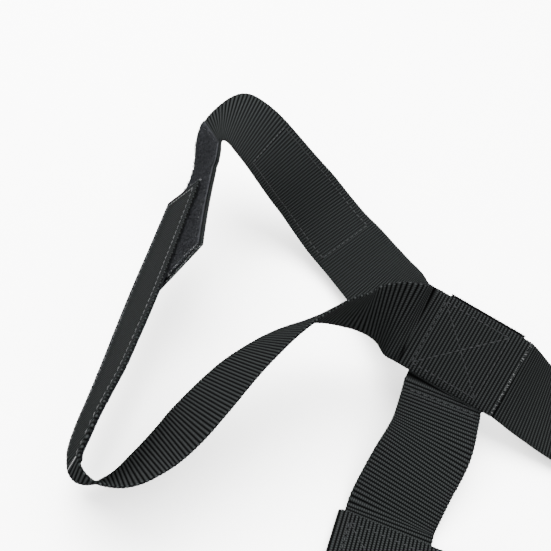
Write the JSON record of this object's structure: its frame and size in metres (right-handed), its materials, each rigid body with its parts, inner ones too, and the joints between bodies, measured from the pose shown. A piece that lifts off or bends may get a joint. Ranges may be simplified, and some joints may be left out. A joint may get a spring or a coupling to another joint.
{
  "type": "safety harness vest",
  "caption": "Webbing safety harness vest: two arm loops with hook-and-loop shoulder straps on a yoke, with a buckled waist belt.",
  "frame": {"origin": "on the surface the vest lies on, under the middle of its outline", "axes": "+X along the yoke to the wearer's right, +Y up the back, +Z away from the surface"},
  "size_m": [0.7246, 0.2832, 0.0846],
  "materials": {
    "webbing": "black ribbed polypropylene webbing",
    "hook_tape": "black nylon hook tape",
    "loop_tape": "black nylon loop tape, fuzzy",
    "black_acetal": "moulded, satin black",
    "elastic": "black knitted elastic"
  },
  "bodies": {
    "vest": {"underarm_strap_left": "webbing", "underarm_strap_right": "webbing", "hook_tape_base_left": "hook_tape", "hook_tape_base_right": "hook_tape", "shoulder_yoke_webbing": "webbing", "loop_tape_tail_left": "loop_tape", "loop_tape_tail_right": "loop_tape", "loop_tape_back_left": "loop_tape", "loop_tape_back_right": "loop_tape", "down_strap_left": "webbing", "down_strap_right": "webbing", "waist_belt": "webbing", "buckle_socket": "black_acetal", "buckle_plug": "black_acetal"},
    "tab_left": {"hook_tab_left": "webbing", "hook_tape_tip_left": "hook_tape"},
    "tab_right": {"hook_tab_right": "webbing", "hook_tape_tip_right": "hook_tape"},
    "prong_upper": {"buckle_prong_upper": "black_acetal"},
    "prong_lower": {"buckle_prong_lower": "black_acetal"},
    "slider": {"tri_glide_slider": "black_acetal"},
    "keeper": {"belt_keeper": "elastic"}
  },
  "joints": [
    {"name": "tab_left_peel", "type": "hinge", "parent": "vest", "child": "tab_left", "pos_m": [-0.33506, -0.03929, 0.03925], "axis": [0.5098, 0.0547, 0.8586], "range_deg": [0, 110]},
    {"name": "tab_right_peel", "type": "hinge", "parent": "vest", "child": "tab_right", "pos_m": [0.33506, -0.03929, 0.03925], "axis": [0.5098, -0.0547, -0.8586], "range_deg": [0, 110]},
    {"name": "prong_upper_press", "type": "hinge", "parent": "vest", "child": "prong_upper", "pos_m": [0, -0.0861, 0.0055], "axis": [0, 0, 1], "range_deg": [0, 5], "stiffness_Nm_per_rad": 2},
    {"name": "prong_lower_press", "type": "hinge", "parent": "vest", "child": "prong_lower", "pos_m": [0, -0.1331, 0.0055], "axis": [0, 0, 1], "range_deg": [-5, 0], "stiffness_Nm_per_rad": 2},
    {"name": "slider_slide", "type": "slide", "parent": "vest", "child": "slider", "axis": [1, 0, 0], "range_m": [-0.01, 0.008]},
    {"name": "keeper_slide", "type": "slide", "parent": "vest", "child": "keeper", "axis": [1, 0, 0], "range_m": [-0.014, 0.002]}
  ],
  "couplings": [
    {"joint": "prong_lower_press", "follows": "prong_upper_press", "ratio": -1}
  ]
}
